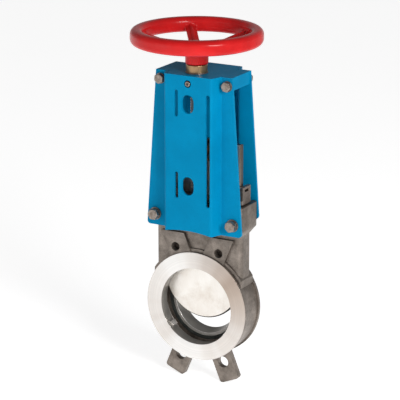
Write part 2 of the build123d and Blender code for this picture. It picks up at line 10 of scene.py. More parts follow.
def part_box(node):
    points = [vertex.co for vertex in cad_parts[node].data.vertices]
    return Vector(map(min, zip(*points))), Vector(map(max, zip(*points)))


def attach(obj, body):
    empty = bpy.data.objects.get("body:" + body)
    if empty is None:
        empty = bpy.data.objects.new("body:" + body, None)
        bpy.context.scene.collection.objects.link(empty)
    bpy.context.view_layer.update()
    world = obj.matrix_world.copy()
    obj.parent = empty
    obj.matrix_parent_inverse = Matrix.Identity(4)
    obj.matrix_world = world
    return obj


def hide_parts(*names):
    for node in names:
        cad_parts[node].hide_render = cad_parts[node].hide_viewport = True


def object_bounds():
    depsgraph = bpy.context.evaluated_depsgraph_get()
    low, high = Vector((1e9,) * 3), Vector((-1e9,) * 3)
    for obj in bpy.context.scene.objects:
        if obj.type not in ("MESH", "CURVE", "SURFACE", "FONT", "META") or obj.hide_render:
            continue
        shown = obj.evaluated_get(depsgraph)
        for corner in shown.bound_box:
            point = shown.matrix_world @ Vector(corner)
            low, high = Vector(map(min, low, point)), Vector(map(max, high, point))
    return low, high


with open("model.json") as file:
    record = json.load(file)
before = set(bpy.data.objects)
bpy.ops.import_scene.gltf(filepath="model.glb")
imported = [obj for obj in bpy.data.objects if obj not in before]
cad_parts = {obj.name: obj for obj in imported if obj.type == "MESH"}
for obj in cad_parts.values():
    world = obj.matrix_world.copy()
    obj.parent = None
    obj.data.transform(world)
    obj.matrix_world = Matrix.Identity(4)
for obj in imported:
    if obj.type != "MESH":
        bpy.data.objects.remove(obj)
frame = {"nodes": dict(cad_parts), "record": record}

cad_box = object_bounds()
scene = bpy.context.scene
record = frame["record"]
slot_of = {row["node"]: row["material_slot"] for row in record["subparts"]}
body_of = {node: body for body, nodes in record["behaviour"]["bodies"].items() for node in nodes}

MM = 0.001
WELD = 2e-6           # points of a CAD mesh nearer than this are the same point
WELD_ROUNDED = 1e-6   # the same for a rounded CAD shape, whose arcs are finer
WELD_SOFTENED = 4e-6  # the same for a softened fastener
CUT_REACH = 1e-7      # points nearer than this to a cutting plane lie on it
SHARP = 30            # edges that turn by more degrees than this are rounded off
CONE_START = 0.475    # radius where a hexagon's chamfer starts, as a share of its width across flats
CONE_SLOPE = tan(radians(28))


# ---------------------------------------------------------------- shader helpers
class Shader:
    """A material with a Principled shader and short calls for the nodes that feed it."""

    def __init__(self, name, metallic=0.0, roughness=0.5, **sockets):
        self.material = bpy.data.materials.new(name)
        self.material.use_nodes = True
        self.tree = self.material.node_tree
        self.surface = self.tree.nodes["Principled BSDF"]
        self.surface.inputs["Metallic"].default_value = metallic
        self.surface.inputs["Roughness"].default_value = roughness
        for socket, value in sockets.items():
            self.surface.inputs[socket.replace("_", " ")].default_value = value
        self.coords = self.tree.nodes.new("ShaderNodeTexCoord").outputs["Object"]

    def node(self, kind, **settings):
        made = self.tree.nodes.new(kind)
        for key, value in settings.items():
            setattr(made, key, value)
        return made

    def link(self, output, target):
        self.tree.links.new(output, target)

    def noise(self, scale, detail=4.0, rough=0.55, stretch=(1, 1, 1), vector=None):
        """Noise over object coordinates or vector: scale is per metre, stretch multiplies it by axis."""
        squeeze = self.node("ShaderNodeMapping")
        squeeze.inputs["Scale"].default_value = stretch
        self.link(vector or self.coords, squeeze.inputs["Vector"])
        made = self.node("ShaderNodeTexNoise")
        made.inputs["Scale"].default_value = scale
        made.inputs["Detail"].default_value = detail
        made.inputs["Roughness"].default_value = rough
        self.link(squeeze.outputs["Vector"], made.inputs["Vector"])
        return made.outputs["Fac"]

    def ramp(self, factor, *stops):
        """Colour or grey ramp from (position, value) stops."""
        made = self.node("ShaderNodeValToRGB")
        elements = made.color_ramp.elements
        while len(elements) < len(stops):
            elements.new(0.5)
        for element, (position, value) in zip(elements, stops):
            element.position = position
            element.color = (*value, 1) if isinstance(value, tuple) else (value, value, value, 1)
        self.link(factor, made.inputs["Fac"])
        return made.outputs["Color"]

    def mix(self, factor, low, high, mode="MIX"):
        """Mix two colours; each may be a socket or a tuple."""
        made = self.node("ShaderNodeMix", data_type="RGBA", blend_type=mode)
        shown = [socket for socket in made.inputs if socket.enabled]
        for value, target in zip((factor, low, high), shown):
            if isinstance(value, bpy.types.NodeSocket):
                self.link(value, target)
            else:
                target.default_value = (*value, 1) if isinstance(value, tuple) else value
        return next(socket for socket in made.outputs if socket.enabled)

    def highest(self, first, second):
        """The larger of two values."""
        made = self.node("ShaderNodeMath", operation="MAXIMUM")
        self.link(first, made.inputs[0])
        self.link(second, made.inputs[1])
        return made.outputs["Value"]

    def colour(self, socket):
        self.link(socket, self.surface.inputs["Base Color"])

    def roughness(self, factor, low, high):
        """Roughness from low to high as factor goes from 0 to 1."""
        made = self.node("ShaderNodeMapRange")
        made.inputs["To Min"].default_value = low
        made.inputs["To Max"].default_value = high
        self.link(factor, made.inputs["Value"])
        self.link(made.outputs["Result"], self.surface.inputs["Roughness"])

    def bump(self, *layers):
        """Stack bump layers, each (height socket, depth in metres)."""
        normal = None
        for height, depth in layers:
            made = self.node("ShaderNodeBump")
            made.inputs["Strength"].default_value = 1.0
            made.inputs["Distance"].default_value = depth
            self.link(height, made.inputs["Height"])
            if normal:
                self.link(normal, made.inputs["Normal"])
            normal = made.outputs["Normal"]
        self.link(normal, self.surface.inputs["Normal"])

    def crevices(self, reach):
        """Ambient occlusion: 1 on open surface, falling towards 0 in corners nearer than reach; colours
        multiplied by it carry painted shade.
        """
        made = self.node("ShaderNodeAmbientOcclusion", samples=8)
        made.inputs["Distance"].default_value = reach
        return made.outputs["AO"]

    def radius(self):
        """Distance from the Y axis, the centre line of the bore."""
        flat = self.node("ShaderNodeVectorMath", operation="MULTIPLY")
        self.link(self.coords, flat.inputs[0])
        flat.inputs[1].default_value = (1, 0, 1)
        length = self.node("ShaderNodeVectorMath", operation="LENGTH")
        self.link(flat.outputs["Vector"], length.inputs[0])
        return length.outputs["Value"]

    def rings(self, radius, scale):
        """Fine turned grooves: noise that changes only with the radius."""
        line = self.node("ShaderNodeCombineXYZ")
        self.link(radius, line.inputs["X"])
        made = self.node("ShaderNodeTexNoise")
        made.inputs["Scale"].default_value = scale
        made.inputs["Detail"].default_value = 5.0
        made.inputs["Roughness"].default_value = 0.7
        self.link(line.outputs["Vector"], made.inputs["Vector"])
        return made.outputs["Fac"]


# ---------------------------------------------------------------- materials
def yoke_paint():
    """Satin epoxy paint on sheet steel: fine orange peel, faint cloudiness, painted shade in the corners."""
    s = Shader("yoke_paint", roughness=0.40, Specular_IOR_Level=0.03)
    cloud = s.noise(14, detail=3)
    base = s.ramp(cloud, (0.3, (0.0, 0.222, 0.435)), (0.7, (0.0, 0.272, 0.525)))
    speck = s.ramp(s.noise(900, detail=2), (0.30, 0.82), (0.42, 1.0))
    # painted shade: the blue darkens where ambient occlusion finds corners within 12 mm
    painted_shade = s.ramp(s.crevices(0.012), (0.0, (0.30, 0.36, 0.40)), (0.75, (1.0, 1.0, 1.0)))
    s.colour(s.mix(1.0, s.mix(1.0, base, speck, "MULTIPLY"), painted_shade, "MULTIPLY"))
    s.roughness(s.noise(60, detail=5), 0.30, 0.48)
    s.bump((s.noise(420, detail=2), 0.00006), (s.noise(45, detail=2), 0.00025))
    return s.material


def wheel_enamel():
    """Gloss enamel over a sanded casting: soft sags, dust nibs, and painted shade in its corners where spokes
    meet the rim and the hub.
    """
    s = Shader("wheel_enamel", roughness=0.22, Specular_IOR_Level=0.20)
    cloud = s.noise(22, detail=3)
    base = s.ramp(cloud, (0.3, (0.54, 0.011, 0.012)), (0.7, (0.72, 0.017, 0.018)))
    # painted shade: the red darkens where ambient occlusion finds other surfaces within 35 mm, such as at the
    # hub
    painted_shade = s.ramp(s.crevices(0.035), (0.10, (0.22, 0.16, 0.16)), (0.85, (1.0, 1.0, 1.0)))
    s.colour(s.mix(1.0, base, painted_shade, "MULTIPLY"))
    s.roughness(s.noise(80, detail=4), 0.14, 0.30)
    s.bump((s.noise(300, detail=2), 0.00004), (s.noise(38, detail=2), 0.0004))
    return s.material


def cast_steel(name, dark, light):
    """Shot-blasted stainless casting: sand grain, uneven flow, warm brown blotches and painted shade in its
    corners.
    """
    s = Shader(name, metallic=0.82, roughness=0.5)
    blotch = s.noise(34, detail=8, rough=0.74)
    base = s.ramp(blotch, (0.30, dark), (0.68, light))
    grain = s.ramp(s.noise(1500, detail=3, rough=0.7), (0.30, 0.66), (0.62, 1.0))
    # painted shade: the colour darkens where ambient occlusion finds corners within 14 mm
    painted_shade = s.ramp(s.crevices(0.014), (0.0, (0.26, 0.22, 0.20)), (0.8, (1.0, 1.0, 1.0)))
    s.colour(s.mix(1.0, s.mix(1.0, base, grain, "MULTIPLY"), painted_shade, "MULTIPLY"))
    s.roughness(s.noise(240, detail=5), 0.32, 0.56)
    s.bump((s.noise(950, detail=4, rough=0.7), 0.00024), (s.noise(70, detail=3), 0.0008))
    return s.material


def turned_steel(name, colour_low, colour_high, shade=(1.0, 1.0, 1.0), smooth=0.27, rough=0.46):
    """Face or bore turned on a lathe: concentric grooves, and sweeps of tone that run out along the radius, a
    painted reflection of the streaks a turned face shows.

    Painted shade: the upper right of the face is multiplied by shade.
    """
    upper_right = (0.88, 0.0, 0.47)
    s = Shader(name, metallic=0.88, roughness=0.36, Anisotropic=0.55, Anisotropic_Rotation=0.25)
    around = s.node("ShaderNodeTangent", direction_type="RADIAL", axis="Y")
    s.link(around.outputs["Tangent"], s.surface.inputs["Tangent"])
    grooves = s.rings(s.radius(), 2600)
    aim = s.node("ShaderNodeVectorMath", operation="NORMALIZE")
    s.link(s.coords, aim.inputs[0])
    # painted reflection: tone that changes with the direction from the centre, standing for a turned face's
    # streaked reflections
    painted_reflection_sweep = s.noise(1.7, detail=2, rough=0.4, stretch=(1, 0.1, 1), vector=aim.outputs["Vector"])
    base = s.ramp(painted_reflection_sweep, (0.34, colour_low), (0.60, colour_high))
    # painted shade: the upper right of the part is multiplied towards the shade colour
    lean = s.node("ShaderNodeVectorMath", operation="DOT_PRODUCT")
    s.link(aim.outputs["Vector"], lean.inputs[0])
    lean.inputs[1].default_value = upper_right
    base = s.mix(s.ramp(lean.outputs["Value"], (0.35, 0.0), (1.0, 1.0)), base, shade, "MULTIPLY")
    lines = s.ramp(grooves, (0.25, 0.80), (0.75, 1.0))
    bands = s.ramp(s.rings(s.radius(), 260), (0.35, 0.90), (0.60, 1.0))
    s.colour(s.mix(1.0, s.mix(1.0, base, bands, "MULTIPLY"), lines, "MULTIPLY"))
    s.roughness(grooves, smooth, rough)
    s.bump((grooves, 0.00004))
    return s.material


def plate_steel(name, colour_low, colour_high, lengthwise=(40, 40, 1)):
    """Rolled and brushed plate: long fine scratches, wider dull streaks and water stains."""
    stain = (0.74, 0.68, 0.62)
    s = Shader(name, metallic=0.85, roughness=0.33)
    scratch = s.noise(90, detail=5, rough=0.7, stretch=lengthwise)
    streak = s.noise(9, detail=4, stretch=(3, 3, 1))
    base = s.ramp(streak, (0.3, colour_low), (0.7, colour_high))
    spots = s.ramp(s.noise(26, detail=8, rough=0.66), (0.46, 0.0), (0.80, 1.0))
    base = s.mix(spots, base, stain, "MULTIPLY")
    s.colour(s.mix(1.0, base, s.ramp(scratch, (0.25, 0.88), (0.7, 1.0)), "MULTIPLY"))
    s.roughness(scratch, 0.24, 0.44)
    s.bump((scratch, 0.00002))
    return s.material


def fastener_steel():
    """Fasteners: dull steel gone brownish, darker in the corners as painted shade, with the forging skin on
    the heads.
    """
    s = Shader("fastener_steel", metallic=0.85, roughness=0.4)
    tint = s.ramp(s.noise(160, detail=5), (0.3, (0.17, 0.135, 0.112)), (0.7, (0.38, 0.33, 0.29)))
    # painted shade: the colour darkens where ambient occlusion finds corners within 4 mm
    painted_shade = s.ramp(s.crevices(0.004), (0.0, (0.28, 0.22, 0.18)), (0.8, (1.0, 1.0, 1.0)))
    s.colour(s.mix(1.0, tint, painted_shade, "MULTIPLY"))
    s.roughness(s.noise(600, detail=4), 0.26, 0.48)
    s.bump((s.noise(1400, detail=3), 0.00004))
    return s.material


def turned_brass():
    """Turned brass: lathe lines, and painted shade that turns it darker brown towards its corners."""
    s = Shader("brass", metallic=0.92, roughness=0.3)
    lines = s.noise(220, detail=5, rough=0.7, stretch=(0.02, 0.02, 9))
    tint = s.ramp(s.noise(70, detail=4), (0.3, (0.30, 0.175, 0.085)), (0.7, (0.56, 0.37, 0.20)))
    # painted shade: the colour darkens where ambient occlusion finds corners within 6 mm
    painted_shade = s.ramp(s.crevices(0.006), (0.0, (0.40, 0.30, 0.22)), (0.8, (1.0, 1.0, 1.0)))
    s.colour(s.mix(1.0, tint, painted_shade, "MULTIPLY"))
    s.roughness(lines, 0.26, 0.42)
    s.bump((lines, 0.00003))
    return s.material


def seat_rubber():
    """Moulded rubber: near black, with a dusty bloom and a fine leathery skin."""
    s = Shader("seat_rubber", roughness=0.62)
    bloom = s.ramp(s.noise(60, detail=5), (0.35, (0.012, 0.014, 0.012)), (0.75, (0.040, 0.046, 0.040)))
    s.colour(bloom)
    s.roughness(s.noise(200, detail=3), 0.5, 0.75)
    s.bump((s.noise(1200, detail=3), 0.00005))
    return s.material


def packing_braid():
    """Square braided packing: two crossed sets of strands, darker where the weave sinks."""
    s = Shader("packing_braid", roughness=0.7)
    heights = []
    for lean in (1, -1):
        turned = s.node("ShaderNodeMapping")
        turned.inputs["Rotation"].default_value = (0, radians(45 * lean), radians(45 * lean))
        s.link(s.coords, turned.inputs["Vector"])
        wave = s.node("ShaderNodeTexWave")
        wave.inputs["Scale"].default_value = 95
        wave.inputs["Distortion"].default_value = 0.6
        s.link(turned.outputs["Vector"], wave.inputs["Vector"])
        heights.append(wave.outputs["Fac"])
    weave = s.highest(*heights)
    s.colour(s.ramp(weave, (0.15, (0.10, 0.09, 0.06)), (0.8, (0.52, 0.46, 0.33))))
    s.bump((weave, 0.0006))
    return s.material


look = {
    "yoke_blue": yoke_paint(),
    "wheel_red": wheel_enamel(),
    "cast_steel": cast_steel("cast_steel", (0.125, 0.104, 0.086), (0.39, 0.335, 0.292)),
    "gland_steel": cast_steel("gland_steel", (0.15, 0.118, 0.098), (0.40, 0.335, 0.292)),
    # the machined faces carry painted shade of this tint on their upper right
    "machined_steel": turned_steel(
        "machined_steel", (0.84, 0.785, 0.735), (1.0, 0.98, 0.95), shade=(0.58, 0.49, 0.43)),
    # bore_steel is the turned steel made darker: painted shade for the inside of the bore and the seat
    # retainer's port
    "bore_steel": turned_steel(
        "bore_steel", (0.32, 0.30, 0.275), (0.54, 0.515, 0.48), smooth=0.34, rough=0.55),
    "gate_steel": plate_steel("gate_steel", (0.86, 0.80, 0.73), (1.0, 0.97, 0.92)),
    "gate_edge": plate_steel("gate_edge", (0.11, 0.09, 0.075), (0.22, 0.19, 0.165), lengthwise=(3, 40, 3)),
    "stem_steel": plate_steel("stem_steel", (0.36, 0.30, 0.26), (0.56, 0.50, 0.45)),
    "fastener_steel": fastener_steel(),
    "brass": turned_brass(),
    "seat_rubber": seat_rubber(),
    "packing_braid": packing_braid(),
}


# ---------------------------------------------------------------- mesh helpers
def place(piece, node, materials=None):
    """Let a piece stand for a CAD node: same body, same slot."""
    for material in materials or [look[slot_of[node]]]:
        piece.data.materials.append(material)
    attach(piece, body_of[node])
    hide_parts(node)
    return piece


def object_from(bm, name, sharp_angle=35):
    """Mesh object from a bmesh, smooth except at edges sharper than sharp_angle degrees."""
    mesh = bpy.data.meshes.new(name)
    bm.normal_update()
    bm.to_mesh(mesh)
    bm.free()
    mesh.polygons.foreach_set("use_smooth", [True] * len(mesh.polygons))
    mesh.set_sharp_from_angle(angle=radians(sharp_angle))
    made = bpy.data.objects.new(name, mesh)
    scene.collection.objects.link(made)
    return made


def apply_modifiers(piece):
    """Turn a piece's modifiers into its mesh."""
    graph = bpy.context.evaluated_depsgraph_get()
    mesh = bpy.data.meshes.new_from_object(piece.evaluated_get(graph))
    piece.modifiers.clear()
    old = piece.data
    piece.data = mesh
    bpy.data.meshes.remove(old)


def tidied(piece, reach):
    """Weld points closer than reach and take out the slivers they leave."""
    bm = bmesh.new()
    bm.from_mesh(piece.data)
    bmesh.ops.remove_doubles(bm, verts=bm.verts, dist=reach)
    bmesh.ops.dissolve_degenerate(bm, dist=reach, edges=bm.edges)
    bm.to_mesh(piece.data)
    bm.free()
    return piece


def cad_copy(node):
    """The CAD node's own surface, welded and with its flat faces joined up."""
    bm = bmesh.new()
    bm.from_mesh(frame["nodes"][node].data)
    bmesh.ops.remove_doubles(bm, verts=bm.verts, dist=WELD)
    bmesh.ops.dissolve_limit(bm, angle_limit=radians(0.5), verts=bm.verts, edges=bm.edges)
    return bm


def bevelled(piece, width, segments):
    """Piece with its sharp edges rounded to width."""
    bevel = piece.modifiers.new("edges", "BEVEL")
    bevel.width = width
    bevel.segments = segments
    bevel.limit_method = "ANGLE"
    bevel.angle_limit = radians(SHARP)
    apply_modifiers(piece)
    return piece


def rounded(node, name, width, segments=3):
    """CAD node with its sharp edges rounded to width."""
    return tidied(bevelled(object_from(cad_copy(node), name, SHARP), width, segments), WELD_ROUNDED)


def softened(bm, name, width=0.2 * MM):
    """Object from a bmesh with a fine edge break on its sharp edges."""
    return tidied(bevelled(object_from(bm, name, SHARP), width, 2), WELD_SOFTENED)


def cut_off(bm, height, side):
    """Take away what lies above a level (side 1) or below it (side -1) and close the opening."""
    cut = bmesh.ops.bisect_plane(
        bm, geom=bm.verts[:] + bm.edges[:] + bm.faces[:], dist=CUT_REACH,
        plane_co=(0, 0, height), plane_no=(0, 0, side), clear_outer=True)
    rim = [edge for edge in cut["geom_cut"] if isinstance(edge, bmesh.types.BMEdge) and edge.is_boundary]
    if rim:
        bmesh.ops.contextual_create(bm, geom=rim)


# ---------------------------------------------------------------- camera, light, floor
def aimed(name, data, target, azimuth, elevation, distance):
    """Lamp or camera that looks at target: azimuth 0 is in front and 90 to the right, in degrees."""
    holder = bpy.data.objects.new(name, data)
    a, e = radians(azimuth), radians(elevation)
    holder.location = target + distance * Vector((sin(a) * cos(e), -cos(a) * cos(e), sin(e)))
    holder.rotation_euler = (target - holder.location).to_track_quat("-Z", "Y").to_euler()
    scene.collection.objects.link(holder)
    return holder


def pale_floor():
    """Floor that glows, pale where the camera looks and greyer past the right edge of its view.

    The glow lights the valve like a lamp; the grey part keeps the shaded side of the valve dark.
    """
    floor_gap = 0.5 * MM
    right_along_floor = (0.9275, 0.3908, 0.0)
    pale_until, grey_from = (0.43, (0.88, 0.88, 0.88)), (1.0, (0.42, 0.42, 0.42))
    floor = bpy.data.meshes.new("floor")
    bm = bmesh.new()
    bmesh.ops.create_grid(bm, x_segments=1, y_segments=1, size=30)
    bm.to_mesh(floor)
    bm.free()
    plane = bpy.data.objects.new("floor", floor)
    plane.location.z = cad_box[0][2] - floor_gap
    scene.collection.objects.link(plane)

    s = Shader("floor_white", roughness=0.9)
    across = s.node("ShaderNodeVectorMath", operation="DOT_PRODUCT")
    s.link(s.coords, across.inputs[0])
    across.inputs[1].default_value = right_along_floor
    zone = s.ramp(across.outputs["Value"], pale_until, grey_from)
    s.colour(s.mix(1.0, zone, s.ramp(s.noise(3, detail=2), (0.0, 0.97), (1.0, 1.0)), "MULTIPLY"))
    # the floor glows with its own pale or grey colour, lighting the valve like a lamp
    s.link(zone, s.surface.inputs["Emission Color"])
    s.surface.inputs["Emission Strength"].default_value = 0.86
    floor.materials.append(s.material)


def soft_sky():
    """Sky bright towards the horizon and dimmer overhead, from (height, grey) stops."""
    sky_stops = ((0.0, 0.85), (0.09, 0.38), (0.75, 0.12))
    world = bpy.data.worlds.new("studio")
    world.use_nodes = True
    nodes, links = world.node_tree.nodes, world.node_tree.links
    split = nodes.new("ShaderNodeSeparateXYZ")
    links.new(nodes.new("ShaderNodeTexCoord").outputs["Generated"], split.inputs["Vector"])
    sky = nodes.new("ShaderNodeValToRGB")
    sky.color_ramp.elements.new(0.5)
    for element, (position, grey) in zip(sky.color_ramp.elements, sky_stops):
        element.position = position
        element.color = (grey, grey, grey, 1)
    links.new(split.outputs["Z"], sky.inputs["Fac"])
    links.new(sky.outputs["Color"], nodes["Background"].inputs["Color"])
    nodes["Background"].inputs["Strength"].default_value = 1.0
    scene.world = world


def lamps():
    """Large soft lamps: a key to the right and a weak one in front."""
    middle = Vector((0, 0.03, 0.25))
    for name, azimuth, elevation, distance, size, power in (
            ("key", 60, 23, 2.5, 0.8, 38), ("front", -30, 8, 2.8, 1.6, 5)):
        lamp = bpy.data.lights.new(name, "AREA")
        lamp.size = size
        lamp.energy = power
        aimed(name, lamp, middle, azimuth, elevation, distance)


def camera():
    """Long lens a little above the valve and to its right."""
    lens = bpy.data.cameras.new("camera")
    lens.sensor_width = 36.0
    lens.lens = 182.6
    centre_of_view = Vector((-0.0075, 0.030, 0.2007))
    scene.camera = aimed("camera", lens, centre_of_view, azimuth=29.4, elevation=16.5, distance=3.795)
    scene.view_settings.view_transform = "Standard"


pale_floor()
soft_sky()
lamps()
camera()


# ---------------------------------------------------------------- castings and plates
for plain_node, kind, edge_width in (
        ("yoke_plate_front", "sheet", 0.6), ("yoke_plate_rear", "sheet", 0.6),
        ("yoke_bridge", "block", 1.2), ("gland_follower", "casting", 1.2),
        ("seat_seal", "ring", 0.8), ("stem_bush", "turned", 0.5),
        ("stem_nut", "block", 1.0), ("bush_ring", "turned", 0.4),
        ("thrust_washer", "turned", 0.3), ("wheel_washer", "pressed", 0.4),
        ("wheel_key", "bar", 0.3), ("yoke_washers_top", "pressed", 0.4),
        ("yoke_washers_bottom", "pressed", 0.4), ("gland_washers", "pressed", 0.4),
        ("packing_lower", "braid", 1.2), ("packing_middle", "braid", 1.2), ("packing_upper", "braid", 1.2)):
    place(rounded(plain_node, plain_node + "_" + kind, edge_width * MM), plain_node)


# ---------------------------------------------------------------- handwheel
def handwheel():
    """Cast handwheel: the CAD shape with every inner corner flowing into its neighbour."""
    piece = object_from(cad_copy("handwheel"), "handwheel_cast", 60)
    remesh = piece.modifiers.new("skin", "REMESH")
    remesh.mode = "VOXEL"
    remesh.voxel_size = 1.1 * MM
    remesh.use_smooth_shade = True
    smooth = piece.modifiers.new("flow", "SMOOTH")
    smooth.factor = 0.5
    smooth.iterations = 14
    thin = piece.modifiers.new("thin", "DECIMATE")
    thin.ratio = 0.35
    apply_modifiers(piece)
    piece.data.polygons.foreach_set("use_smooth", [True] * len(piece.data.polygons))
    place(piece, "handwheel")


handwheel()


# ---------------------------------------------------------------- turned, hexagonal and threaded parts
def seat(origin, direction):
    """Matrix that stands +Z along direction at origin and keeps X along world X."""
    up = Vector(direction)
    side = Vector((1, 0, 0))
    turn = Matrix((side, up.cross(side), up)).transposed().to_4x4()
    return Matrix.Translation(origin) @ turn


def spin(bm, matrix, rows, around=48, ring=False):
    """Closed form around +Z from (radius, height) rows, each a number or a function of the angle.

    The first and last rows have radius 0, or with ring=True they are joined to each other.
    """
    made = []
    for radius, height in rows:
        if radius == 0:
            made.append([bm.verts.new(matrix @ Vector((0, 0, height)))])
            continue
        row = []
        for i in range(around):
            angle = 2 * pi * i / around
            r = radius(angle) if callable(radius) else radius
            z = height(angle) if callable(height) else height
            row.append(bm.verts.new(matrix @ Vector((r * cos(angle), r * sin(angle), z))))
        made.append(row)
    pairs = list(zip(made, made[1:])) + ([(made[-1], made[0])] if ring else [])
    for low, high in pairs:
        for i in range(around):
            j = (i + 1) % around
            if len(low) == 1:
                bm.faces.new((low[0], high[j], high[i]))
            elif len(high) == 1:
                bm.faces.new((low[i], low[j], high[0]))
            else:
                bm.faces.new((low[i], low[j], high[j], high[i]))


def hexagon(flats, turn=0.0):
    """Outline of a hexagon as a function of the angle."""
    return lambda angle: flats / 2 / cos((angle + turn) % (pi / 3) - pi / 6)


def dome(flats, height, turn, up=1):
    """Height at which the chamfer's cone cuts the sides of a hexagon."""
    outline = hexagon(flats, turn)
    return lambda angle: height - up * (outline(angle) - CONE_START * flats) * CONE_SLOPE


def hex_nut(bm, matrix, flats, height, hole, turn=0.0):
    """Hexagon nut, chamfered on both faces and countersunk at both ends of its hole."""
    outline = hexagon(flats, turn)
    top, lead = CONE_START * flats, 0.08 * flats
    spin(bm, matrix, (
        (hole, lead), (hole + lead, 0.0), (top, 0.0), (outline, dome(flats, 0.0, turn, -1)),
        (outline, dome(flats, height, turn)), (top, height), (hole + lead, height), (hole, height - lead),
    ), ring=True)


def hex_bolt(bm, matrix, flats, head, shank, length, turn=0.0):
    """Hexagon bolt whose head sits on the origin: washer face, chamfered corners, shallow dish on top."""
    outline = hexagon(flats, turn)
    top = CONE_START * flats
    tip, washer_face, dish = 0.8 * MM, 0.4 * MM, 0.35 * MM
    spin(bm, matrix, (
        (0, -length), (shank - tip, -length), (shank, -length + tip), (shank, 0.0), (top, 0.0),
        (top, washer_face), (outline, washer_face), (outline, dome(flats, head, turn)), (top, head),
        (0.72 * top, head), (0.60 * top, head - dish), (0, head - dish),
    ))


def threaded_rod(bm, matrix, radius, pitch, length, depth, hand=1, around=36):
    """Closed rod from the origin along +Z with a helical trapezoid thread and chamfered ends.

    A hand of -1 makes the thread left-handed.
    """
    rod = bmesh.new()
    # Both ends of the crest, then of the root: (share of the pitch, share of the depth)
    stops = ((0.0, 0.0), (0.33, 0.0), (0.50, 1.0), (0.83, 1.0))
    rows = []
    for turn in range(-2, int(length / pitch) + 3):
        for share, drop in stops:
            row = []
            for i in range(around):
                z = (turn + share + i / around) * pitch
                inside = max(min(z, length - z), 0.0)
                r = min(radius - depth * drop, radius - depth + inside)
                angle = hand * 2 * pi * i / around
                row.append(rod.verts.new((r * cos(angle), r * sin(angle), z)))
            rows.append(row)
    turn_rows = len(stops)
    for k in range(len(rows) - turn_rows - 1):
        for i in range(around):
            here, above = rows[k], rows[k + 1]
            right, right_above = (here[i + 1], above[i + 1]) if i + 1 < around else (
                rows[k + turn_rows][0], rows[k + turn_rows + 1][0])
            rod.faces.new((here[i], right, right_above, above[i]))
    cut_off(rod, 0.0, -1)
    cut_off(rod, length, 1)
    bmesh.ops.delete(rod, geom=[v for v in rod.verts if not v.link_faces], context="VERTS")
    bmesh.ops.recalc_face_normals(rod, faces=rod.faces)
    bmesh.ops.transform(rod, matrix=matrix, verts=rod.verts)
    join(bm, rod)


def join(bm, other):
    """Add another bmesh to this one."""
    mesh = bpy.data.meshes.new("joining")
    other.to_mesh(mesh)
    other.free()
    bm.from_mesh(mesh)
    bpy.data.meshes.remove(mesh)


def shells(node):
    """Box of every separate solid in a CAD node: (low, high) corners, in a fixed order."""
    bm = bmesh.new()
    bm.from_mesh(frame["nodes"][node].data)
    bmesh.ops.remove_doubles(bm, verts=bm.verts, dist=WELD)
    seen, boxes = set(), []
    for start in bm.verts:
        if start in seen:
            continue
        stack, group = [start], []
        seen.add(start)
        while stack:
            vertex = stack.pop()
            group.append(vertex.co.copy())
            for edge in vertex.link_edges:
                other = edge.other_vert(vertex)
                if other not in seen:
                    seen.add(other)
                    stack.append(other)
        boxes.append((Vector([min(p[k] for p in group) for k in range(3)]),
                      Vector([max(p[k] for p in group) for k in range(3)])))
    bm.free()
    return sorted(boxes, key=lambda pair: tuple(round(v, 4) for v in pair[0]))


# ---------------------------------------------------------------- body, seat and gate
def lug_threads(piece, faces):
    """Tap the upper lug holes of each face, given as (y, direction inwards), from just under their mouths."""
    lug_radius, half_angle = 120 * MM, radians(22.5)
    lead, run = 1.1 * MM, 13.4 * MM
    across, up = lug_radius * sin(half_angle), lug_radius * cos(half_angle)
    taps = bmesh.new()
    for y, inward in faces:
        for side in (-1, 1):
            matrix = seat((side * across, y + inward * lead, up), (0, inward, 0))
            threaded_rod(taps, matrix, radius=10 * MM, pitch=2.5 * MM, length=run, depth=1.2 * MM)
    tool = object_from(taps, "lug_taps", 60)
    tool.data.materials.append(None)
    cut = piece.modifiers.new("threads", "BOOLEAN")
    cut.operation = "DIFFERENCE"
    cut.solver = "EXACT"
    cut.object = tool
    apply_modifiers(piece)
    bpy.data.objects.remove(tool)
    tidied(piece, WELD).data.set_sharp_from_angle(angle=radians(SHARP))


def body_casting():
    """Body: cast skin everywhere but the turned faces, the guide pads and the bore."""
    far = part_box("seat_retainer")[1].y
    lug_step = 4 * MM  # the lugs start this far behind the raised faces
    face_r, face_depth = 107.1 * MM, 0.3 * MM
    pad_inner_r, pad_outer_r = 74.5 * MM, 80 * MM
    bore_inner_r, bore_outer_r, chest_z = 74 * MM, 90.5 * MM, 90 * MM
    piece = rounded("body", "body_casting", 0.9 * MM)
    lug_threads(piece, ((lug_step, 1), (far - lug_step, -1)))
    points = [v.co for v in piece.data.vertices]
    for polygon in piece.data.polygons:
        corners = [points[i] for i in polygon.vertices]
        reach = [sqrt(p.x ** 2 + p.z ** 2) for p in corners]
        level = [p.y for p in corners]
        face = max(reach) < face_r and (max(level) < face_depth or min(level) > far - face_depth)
        pad = min(reach) < pad_inner_r and max(reach) < pad_outer_r
        bore = bore_inner_r < min(reach) and max(reach) < bore_outer_r and max(p.z for p in corners) < chest_z
        if face or pad:
            polygon.material_index = 1
        # the bore takes bore_steel, the turned steel darkened as painted shade
        elif bore:
            polygon.material_index = 2
    place(piece, "body", [look["cast_steel"], look["machined_steel"], look["bore_steel"]])


